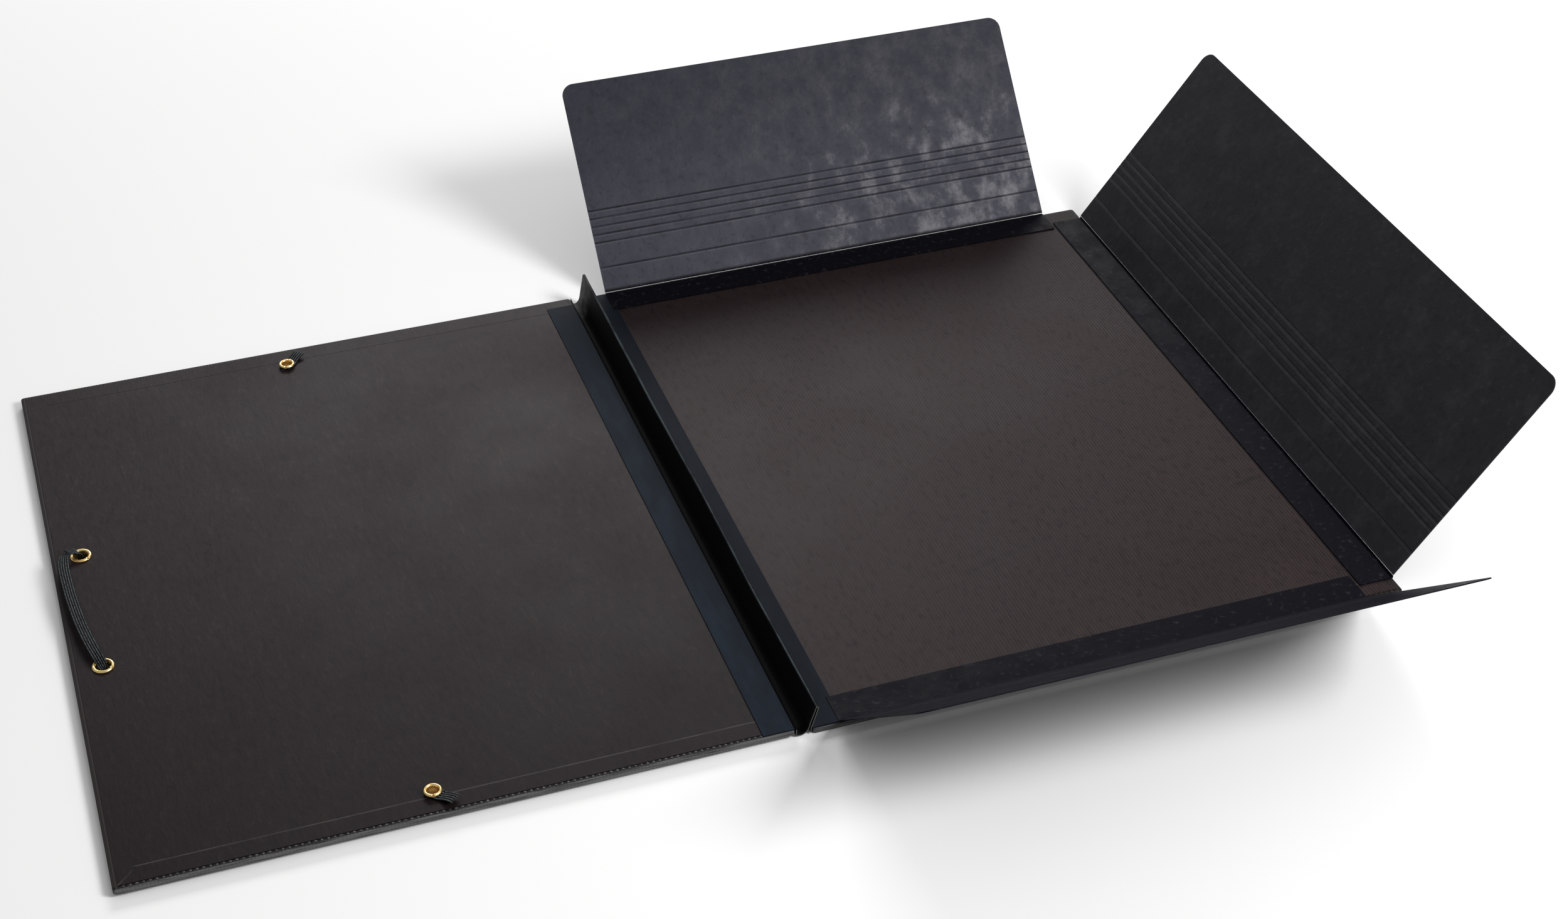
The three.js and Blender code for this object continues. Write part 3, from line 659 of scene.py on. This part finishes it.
def sheet_width(share):
    """The width of the flat cloth that the pleat takes, at a share of its length."""
    section = pleat_line(share)
    return sum((b - a).length for a, b in zip(section, section[1:]))


near_width = sheet_width(0)
far_width = sheet_width(1)


# Flaps
# Each flap is glazed pressboard with pressed score lines, so that it can fold round a stack
# of any thickness. A strip of the same board is glued inside the cover's edge.
press_colour = (0.0235, 0.0235, 0.036)
press_lit_foot = (0.042, 0.042, 0.06)
press_soft = (0.05, 0.05, 0.062)
press_sheen = (0.17, 0.17, 0.185)
strip_colour = (0.0032, 0.0032, 0.006)
far_strip_colour = (0.003, 0.003, 0.0048)
near_leaf_shade = (0.005, 0.005, 0.009)
right_flap_shade = (0.0165, 0.0158, 0.0195)
rim_highlight = (0.11, 0.11, 0.13)
score_shade = (0.002, 0.002, 0.003)
fleck_dark = (0.004, 0.004, 0.006)
fleck_light = (0.06, 0.06, 0.07)
leaf_gap = 0.0003
card = 0.0005
side_step = 0.0008
cover_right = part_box("back_covering")[1][0]
cover_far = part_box("back_covering")[1][1]
leaf_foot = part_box("far_flap_strip")[1][2] + leaf_gap
end_fold_z = leaf_foot + card / 2
side_fold_z = end_fold_z + side_step
far_lean = math.radians(41)
near_lean = math.radians(48.4)
right_lean = math.radians(37.7)
first_score = 0.0121
score_start = 0.0245
score_pitch = 0.004
score_count = 5
score_width = 0.0005
score_soft = 0.0003
rim_offset = 0.0008
rim_width = 0.0003
edge_soft = 0.001
sheen_start = 0.235
sheen_full = 0.01
foot_top = 0.075
foot_full = 0.018
far_strip_start = 0.13
far_strip_full = 0.15

pressboard, tree, shader = finish_of("pressboard", press_colour, roughness=0.5, specular=0.14)
place, axes = object_place(tree)
patches = noise(tree, stretched(tree, place, (1, 1, 0.55)), 95, 6.0, 0.66)
flecks = noise(tree, place, 330, 3.0, 0.6)
fibres = noise(tree, stretched(tree, place, (1500, 1500, 500)), 1, 2.0, 0.6)
on_far = ramp(tree, axes[1], cover_far - edge_soft, cover_far + edge_soft)
on_near = ramp(tree, axes[1], -cover_far + edge_soft, -cover_far - edge_soft)
on_right = ramp(tree, axes[0], cover_right - edge_soft / 2, cover_right + edge_soft / 2)
on_leaf = ramp(tree, axes[2], leaf_foot + 0.0004, leaf_foot + 0.002)
# Painted reflection: bright cloudy patches on the far flap, strongest toward its lower right.
to_right = ramp(tree, axes[0], cover_right - sheen_start, cover_right - sheen_full)
to_foot = ramp(tree, axes[2], foot_top, foot_full)
sheen_mask = calc(tree, "MULTIPLY", calc(tree, "MULTIPLY", to_right, to_foot), on_far)
sheen_mask = calc(tree, "ADD", sheen_mask, 0.09)
sheen_cloud_start = calc(tree, "SUBTRACT", 0.62, calc(tree, "MULTIPLY", sheen_mask, 0.2))
sheen_clouds = ramp(tree, patches, sheen_cloud_start, 0.8)
sheen_clouds = calc(tree, "MULTIPLY", sheen_clouds, ramp(tree, sheen_mask, 0.0, 0.7))
soft_clouds = ramp(tree, noise(tree, place, 60, 5.0, 0.6), 0.45, 0.75, 0.0, 0.3)
# Painted light: the flaps grow lighter toward their foot.
tone = mixed(tree, to_foot, press_colour, press_lit_foot)
# Painted shade: the right flap is a darker copy of the same board.
tone = mixed(tree, on_right, tone, right_flap_shade)
tone = mixed(tree, soft_clouds, tone, press_soft)
tone = mixed(tree, sheen_clouds, tone, press_sheen)
on_far_strip = ramp(tree, axes[1], far_strip_start, far_strip_full)
strip_tone = mixed(tree, on_far_strip, strip_colour, far_strip_colour)
tone = mixed(tree, on_leaf, strip_tone, tone)
rises = []
for lean, fold_z in ((far_lean, end_fold_z), (near_lean, end_fold_z), (right_lean, side_fold_z)):
    above = calc(tree, "SUBTRACT", axes[2], fold_z)
    rises.append(calc(tree, "DIVIDE", above, math.cos(lean)))
rise = put(tree, "ShaderNodeMix", {0: on_near, 2: rises[0], 3: rises[1]}).outputs[0]
rise = put(tree, "ShaderNodeMix", {0: on_right, 2: rise, 3: rises[2]}).outputs[0]
# Painted shade in the pressed score grooves, with a painted highlight on the rim just below each.
from_group = calc(tree, "SUBTRACT", rise, score_start - score_pitch / 2)
phase = calc(tree, "MODULO", from_group, score_pitch)
past_start = calc(tree, "GREATER_THAN", from_group, 0.0)
before_end = calc(tree, "LESS_THAN", from_group, score_pitch * score_count)
in_group = calc(tree, "MULTIPLY", past_start, before_end)
pressed_shade = calc(tree, "MULTIPLY", line(tree, phase, score_pitch / 2, score_width, score_soft), in_group)
pressed_shade = calc(tree, "MAXIMUM", pressed_shade, line(tree, rise, first_score, score_width, score_soft))
# Painted shade: the near flap is a darker copy of the same board.
tone = mixed(tree, on_near, tone, near_leaf_shade)
rim = line(tree, phase, score_pitch / 2 - rim_offset, rim_width, score_soft)
rim = calc(tree, "MULTIPLY", rim, in_group)
rim = calc(tree, "MAXIMUM", rim, line(tree, rise, first_score - rim_offset, rim_width, score_soft))
score_unevenness = ramp(tree, noise(tree, stretched(tree, place, (40, 40, 400)), 1), 0.3, 0.6, 0.3, 1.0)
rim_share = calc(tree, "MULTIPLY", rim, calc(tree, "MULTIPLY", score_unevenness, 0.3))
tone = mixed(tree, rim_share, tone, rim_highlight)
score_share = calc(tree, "MULTIPLY", pressed_shade, calc(tree, "MULTIPLY", score_unevenness, 0.7))
tone = mixed(tree, score_share, tone, score_shade)
tone = mixed(tree, ramp(tree, flecks, 0.46, 0.3, 0.0, 0.35), tone, fleck_dark)
tone = mixed(tree, ramp(tree, flecks, 0.56, 0.72, 0.0, 0.22), tone, fleck_light)
tree.links.new(tone, shader.inputs["Base Color"])
tree.links.new(ramp(tree, patches, 0.35, 0.65, 0.55, 0.4), shader.inputs["Roughness"])
leaf_gloss = ramp(tree, on_leaf, 0.0, 1.0, 0.04, 0.14)
near_share = ramp(tree, on_near, 0.0, 1.0, 1.0, 0.3)
gloss = calc(tree, "MULTIPLY", leaf_gloss, near_share)
tree.links.new(gloss, shader.inputs["Specular IOR Level"])
under = relief(tree, shader, patches, 0.00015)
under = relief(tree, shader, flecks, 0.00005, under)
relief(tree, shader, fibres, 0.00003, under)
for side in ("far", "near", "right"):
    dress(side + "_flap", pressboard)
    dress(side + "_flap_strip", pressboard)


# Eyelets
# Four brass eyelets hold the elastic. Each has a flat head outside, a barrel through the
# board, and a rim rolled over inside, which cracked at one place as it was rolled.
crack_half = math.radians(6)
pinch_in = 0.0012
pinch_down = 0.0006


def face_out(mesh):
    """Turns every face of a closed mesh outwards."""
    turned = bmesh.new()
    turned.from_mesh(mesh)
    bmesh.ops.recalc_face_normals(turned, faces=turned.faces)
    turned.to_mesh(mesh)
    turned.free()


def lathe(name, middle, profile, sides, crack_heading):
    """A turned ring, pinched at its crack. The closed profile lists radius, height and pinch."""
    mesh = bpy.data.meshes.new(name)
    points = []
    for step in range(sides):
        heading = 2 * math.pi * step / sides
        away = abs((heading - crack_heading + math.pi) % (2 * math.pi) - math.pi)
        pinch = max(0.0, 1 - away / crack_half)
        for radius, height, roll in profile:
            out = radius - pinch * roll * pinch_in
            down = height - pinch * roll * pinch_down
            points.append((middle.x + out * math.cos(heading), middle.y + out * math.sin(heading), down))
    count = len(profile)
    faces = [
        (step * count + i, step * count + (i + 1) % count,
         (step + 1) % sides * count + (i + 1) % count, (step + 1) % sides * count + i)
        for step in range(sides) for i in range(count)
    ]
    mesh.from_pydata(points, [], faces)
    face_out(mesh)
    smooth_faces(mesh)
    return mesh


def eyelet_middle(name):
    """The middle of an eyelet's bore, from the frame."""
    low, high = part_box(name)
    return Vector(((low[0] + high[0]) / 2, (low[1] + high[1]) / 2, (low[2] + high[2]) / 2))


side_bore = 0.003
end_bore = 0.0023
side_rim = 0.0045
end_rim = 0.0036
head_radius = 0.0043
eyelet_wall = 0.0003
flange_thickness = 0.00045
rim_height = 0.0009
rim_lip = 0.00005
roll_steps = 10
eyelet_sides = 96
crack_headings = {
    "eyelet_far": -109, "eyelet_near": -100, "eyelet_upper_side": -50, "eyelet_lower_side": -32,
}
brass_dark = (0.85, 0.55, 0.19)
brass_light = (1.0, 0.8, 0.43)

brass_finish, tree, shader = finish_of("brass", (0.95, 0.7, 0.33), roughness=0.3, specular=0.5)
shader.inputs["Metallic"].default_value = 1
place = object_place(tree)[0]
tarnish = ramp(tree, noise(tree, place, 700, 3.0, 0.6), 0.3, 0.7)
tree.links.new(mixed(tree, tarnish, brass_dark, brass_light), shader.inputs["Base Color"])
tree.links.new(ramp(tree, tarnish, 0.0, 1.0, 0.38, 0.28), shader.inputs["Roughness"])

for name, crack_heading in crack_headings.items():
    low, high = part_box(name)
    bore = side_bore if "side" in name else end_bore
    rim = side_rim if "side" in name else end_rim
    rim_low = high[2] - rim_height
    edge = flange_thickness / 2
    barrel = bore + eyelet_wall
    profile = [
        (bore, low[2], 0), (head_radius - edge, low[2], 0), (head_radius, low[2] + edge, 0),
        (head_radius - edge, low[2] + flange_thickness, 0), (barrel, low[2] + flange_thickness, 0),
        (barrel, rim_low, 0), (rim - 0.0001, rim_low, 0.2),
    ]
    for step in range(roll_steps + 1):
        turn = math.pi * step / roll_steps
        out = math.cos(turn)
        profile.append((
            (rim + bore) / 2 + (rim - bore) / 2 * out,
            rim_low + rim_lip + (rim_height - rim_lip) * math.sin(turn),
            max(0.0, 0.5 + 0.5 * out),
        ))
    mesh = lathe(name + "_ring", eyelet_middle(name), profile, eyelet_sides, math.radians(crack_heading))
    ring = link_piece("brass_" + name, mesh, brass_finish)
    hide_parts(name)
    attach(ring, "front_cover")


# Elastic
# One flat black braid with cords along it. Each tail comes up beside an end eyelet; the braid
# runs under the cover to the side eyelets and stands up inside between them as a low loop.
front_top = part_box("front_lining")[1][2]
cover_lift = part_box("front_covering")[0][2]
braid_width = 0.005
braid_thickness = 0.0006
braid_under = braid_thickness / 2
slot_width = 0.0024


def at_station(middle, run, along, z, width, thickness):
    """A station on the braid's middle line, at a distance along its run from an eyelet."""
    across = Vector((-run.y, run.x, 0)) * (1 if run.y > 0 else -1)
    return (Vector((middle.x + run.x * along, middle.y + run.y * along, z)), across, width, thickness)


def braid_run(end):
    """The direction from a side eyelet to its end eyelet."""
    start = eyelet_middle("eyelet_upper_side" if end > 0 else "eyelet_lower_side")
    stop = eyelet_middle("eyelet_far" if end > 0 else "eyelet_near")
    return Vector((stop.x - start.x, stop.y - start.y, 0)).normalized()


def end_stations(end):
    """From the tail, down through the slot at an end eyelet and out along the underside."""
    middle = eyelet_middle("eyelet_far" if end > 0 else "eyelet_near")
    run = braid_run(end)
    w, t = braid_width, braid_thickness
    lying = front_top + 0.0002 + t / 2
    # Each step is the way along the run in millimetres, then its height, width and thickness.
    steps = [
        (10, lying + 0.0012, w + 0.001, t), (7.5, lying + 0.0009, w + 0.0006, t),
        (5, lying + 0.0002, w + 0.0004, t), (3.4, lying, w + 0.0012, t), (0, lying, w + 0.0012, t),
        (-2, lying, w + 0.0012, t), (-2.8, lying - 0.0001, slot_width - 0.0001, t * 0.8),
        (-3.2, front_top - 0.0006, slot_width - 0.0005, 0.0004),
        (-3.2, cover_lift + 0.0003, slot_width - 0.0005, 0.0004),
        (-3.6, 0.00095, slot_width, t * 0.75), (-4.6, 0.0009, w * 0.7, t * 0.75),
        (-6.2, 0.0005, w, t), (-9, braid_under, w, t),
    ]
    return [at_station(middle, run, along / 1000, z, width, thick) for along, z, width, thick in steps]


def side_stations(end):
    """Along the underside and up through a side eyelet's bore."""
    middle = eyelet_middle("eyelet_upper_side" if end > 0 else "eyelet_lower_side")
    run = braid_run(end)
    w, t = braid_width, braid_thickness
    steps = [
        (9, braid_under, w, t), (5, braid_under, w * 0.9, t), (2.2, braid_under + 0.00002, w * 0.9, t),
        (0.7, 0.00075, w * 0.88, t), (0.1, 0.0015, w * 0.86, t), (0, front_top - 0.0004, w * 0.86, t),
    ]
    return [at_station(middle, run, along / 1000, z, width, thick) for along, z, width, thick in steps]


upper_side = eyelet_middle("eyelet_upper_side")
lower_side = eyelet_middle("eyelet_lower_side")
# Each point of the loop lists the side eyelet that it is measured from, or 0 for midway, then X, Y
# and height in millimetres, the direction across the braid, and the width in millimetres.
loop_points = [
    (1, -0.5, 0.4, 1.6, (-0.5, 0.86), 4.3), (1, -1.9, 0.6, 2.9, (-0.3, 0.95), 4.6),
    (1, -3.9, 0.2, 3.6, (0.15, 0.98), 4.0), (1, -5.7, -1.1, 4.0, (0.55, 0.83), 3.6),
    (1, -6.9, -4.0, 4.3, (0.88, 0.46), 4.2), (1, -7.5, -8.0, 4.4, (1, 0.12), 4.7),
    (1, -7.7, -14.6, 4.4, (1, 0.02), 4.8),
    (0, -7.1, 7, 4.4, (1, -0.06), 4.8), (0, -5.5, -11, 4.3, (0.99, -0.1), 4.8),
    (-1, -3.3, 12.6, 3.9, (0.98, -0.16), 4.8), (-1, -1.5, 4.6, 3, (0.97, -0.2), 4.6),
    (-1, -0.4, 1.3, 1.7, (0.9, -0.4), 4.3),
]
loop_ease = 0.0004
loop_stations = []
for start, x, y, height, across, width in loop_points:
    start_y = {1: upper_side.y, 0: (upper_side.y + lower_side.y) / 2, -1: lower_side.y}[start]
    point = Vector((upper_side.x + x / 1000, start_y + y / 1000, front_top + height / 1000 - loop_ease))
    loop_stations.append((point, Vector((*across, 0)), width / 1000, braid_thickness))

braid_stations = (
    end_stations(1) + side_stations(1) + loop_stations
    + side_stations(-1)[::-1] + end_stations(-1)[::-1]
)

cord_count = 5
cord_points = 6
cord_valley = 0.65


def braid_section():
    """The braid's outline as shares of its width and thickness, with a ridge for each cord."""
    top = []
    steps = cord_count * cord_points
    for step in range(steps + 1):
        u = step / steps - 0.5
        ridge = abs(math.sin(math.pi * cord_count * step / steps))
        edge = min(1.0, 6 * (0.5 - abs(u)) + 0.35)
        top.append((-u, 0.5 * edge * (1 - cord_valley * (1 - ridge))))
    return top + [(-u, -v) for u, v in top]


def braid_mesh(name, stations):
    """A closed skin on the braid's section, along a smooth line through its stations."""
    spans = 6
    points = smooth_line([station[0] for station in stations], spans)
    turned = [stations[0][1]]
    for station in stations[1:]:
        turned.append(station[1] if station[1].dot(turned[-1]) >= 0 else -station[1])
    acrosses = smooth_line(turned, spans)
    sizes = smooth_line([Vector((station[2], station[3])) for station in stations], spans)
    outline = braid_section()
    skin = []
    shares = []
    for i, point in enumerate(points):
        along = (points[min(i + 1, len(points) - 1)] - points[max(i - 1, 0)]).normalized()
        across = (acrosses[i] - along * acrosses[i].dot(along)).normalized()
        up = along.cross(across)
        for u, v in outline:
            skin.append(point + across * u * sizes[i].x + up * v * sizes[i].y)
            shares.append(u)
    count = len(outline)
    faces = [
        (row * count + i, row * count + (i + 1) % count,
         (row + 1) * count + (i + 1) % count, (row + 1) * count + i)
        for row in range(len(points) - 1) for i in range(count)
    ]
    faces.append(tuple(range(count)))
    faces.append(tuple(range(len(skin) - count, len(skin)))[::-1])
    mesh = bpy.data.meshes.new(name)
    mesh.from_pydata(skin, [], faces)
    across_layer = mesh.attributes.new("across", "FLOAT", "POINT")
    across_layer.data.foreach_set("value", shares)
    face_out(mesh)
    return mesh


braid_colour = (0.002, 0.0025, 0.003)
cord_dark = (0.0012, 0.0014, 0.0018)
cord_lit = (0.1, 0.115, 0.12)
barrel_gap = 0.0001
cutter_length = 0.02
braid_finish, tree, shader = finish_of("elastic_braid", braid_colour, roughness=0.65, specular=0.1)
place = object_place(tree)[0]
across_share = put(tree, "ShaderNodeAttribute", attribute_name="across").outputs["Fac"]
cord_phase = calc(tree, "MULTIPLY", across_share, math.pi * cord_count)
ridge = calc(tree, "ABSOLUTE", calc(tree, "COSINE", cord_phase))
threads = ramp(tree, noise(tree, place, 1100, 3.0, 0.7), 0.3, 0.6)
lit = calc(tree, "MULTIPLY", ramp(tree, ridge, 0.7, 0.98), threads)
tree.links.new(mixed(tree, lit, cord_dark, cord_lit), shader.inputs["Base Color"])
relief(tree, shader, threads, 0.00008)
braid_holder = link_piece("elastic_braid_holder", braid_mesh("elastic_braid", braid_stations), braid_finish)
cutter_mesh = bpy.data.meshes.new("barrel_cutter")
rods = bmesh.new()
cut_radius = end_bore + eyelet_wall + barrel_gap
for name in ("eyelet_far", "eyelet_near"):
    made = bmesh.ops.create_cone(
        rods, cap_ends=True, segments=40, radius1=cut_radius, radius2=cut_radius, depth=cutter_length
    )
    bmesh.ops.translate(rods, verts=made["verts"], vec=eyelet_middle(name))
rods.to_mesh(cutter_mesh)
rods.free()
cutter = link_piece("barrel_cutter", cutter_mesh)
cut = braid_holder.modifiers.new("barrels", "BOOLEAN")
cut.operation = "DIFFERENCE"
cut.solver = "EXACT"
cut.object = cutter
cut.use_self = True
braid = settle("elastic_braid", braid_holder)
bpy.data.objects.remove(cutter)
smooth_faces(braid.data)
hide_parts("elastic")
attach(braid, "front_cover")


def frayed_end_tree():
    """Loose fibres in a row across a cut end of the braid, each turned and sized at random."""
    tree = bpy.data.node_groups.new("frayed end", "GeometryNodeTree")
    given = inputs_of(tree, ("Width", "Fibre Length", "Fibre Thickness", "Count", "Heading", "Seed")).outputs
    step = calc(tree, "DIVIDE", given["Width"], given["Count"])
    first = put(tree, "ShaderNodeCombineXYZ", {1: calc(tree, "MULTIPLY", given["Width"], -0.5)}).outputs[0]
    row = put(tree, "GeometryNodeMeshLine", {
        "Count": given["Count"], "Start Location": first,
        "Offset": put(tree, "ShaderNodeCombineXYZ", {1: step}).outputs[0],
    }).outputs[0]
    fibre = put(tree, "GeometryNodeMeshCone", {
        "Vertices": 5, "Radius Top": calc(tree, "MULTIPLY", given["Fibre Thickness"], 0.2),
        "Radius Bottom": given["Fibre Thickness"], "Depth": given["Fibre Length"],
    }).outputs[0]
    turn = put(tree, "FunctionNodeRandomValue", {
        0: (0.0, 1.15, -0.55), 1: (0.0, 1.8, 0.55), "Seed": given["Seed"],
    }, data_type="FLOAT_VECTOR").outputs[0]
    size = put(tree, "FunctionNodeRandomValue", {
        2: 0.35, 3: 1.0, "Seed": given["Seed"],
    }, data_type="FLOAT").outputs[1]
    fibres = put(tree, "GeometryNodeInstanceOnPoints", {
        "Points": row, "Instance": fibre, "Rotation": turn, "Scale": size}).outputs[0]
    heading = put(tree, "ShaderNodeCombineXYZ", {2: given["Heading"]}).outputs[0]
    placed = put(tree, "GeometryNodeTransform", {
        "Geometry": fibres, "Translation": given["Place"], "Rotation": heading}).outputs[0]
    end_tree(tree, placed, given["Finish"])
    return tree


fray_dark = (0.02, 0.023, 0.023)
fray_light = (0.12, 0.13, 0.12)
fray_share = 0.92
fray_sink = 0.0002
fray_finish, tree, shader = finish_of("frayed_fibres", (0.05, 0.058, 0.055), roughness=0.7, specular=0.2)
place = object_place(tree)[0]
fray_tone = ramp(tree, noise(tree, place, 2500), 0.35, 0.65)
tree.links.new(mixed(tree, fray_tone, fray_dark, fray_light), shader.inputs["Base Color"])
frayed_end = frayed_end_tree()
for end, name in ((1, "far_tail_fray"), (-1, "near_tail_fray")):
    run = braid_run(end)
    tail = end_stations(end)[0]
    fray = grow(name, frayed_end, {
        "Width": tail[2] * fray_share, "Fibre Length": 0.0012, "Fibre Thickness": 0.00011, "Count": 26.0,
        "Heading": math.atan2(run.y, run.x), "Seed": 7.0 + end,
        "Place": tuple(tail[0] - run * fray_sink), "Finish": fray_finish,
    })
    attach(fray, "front_cover")
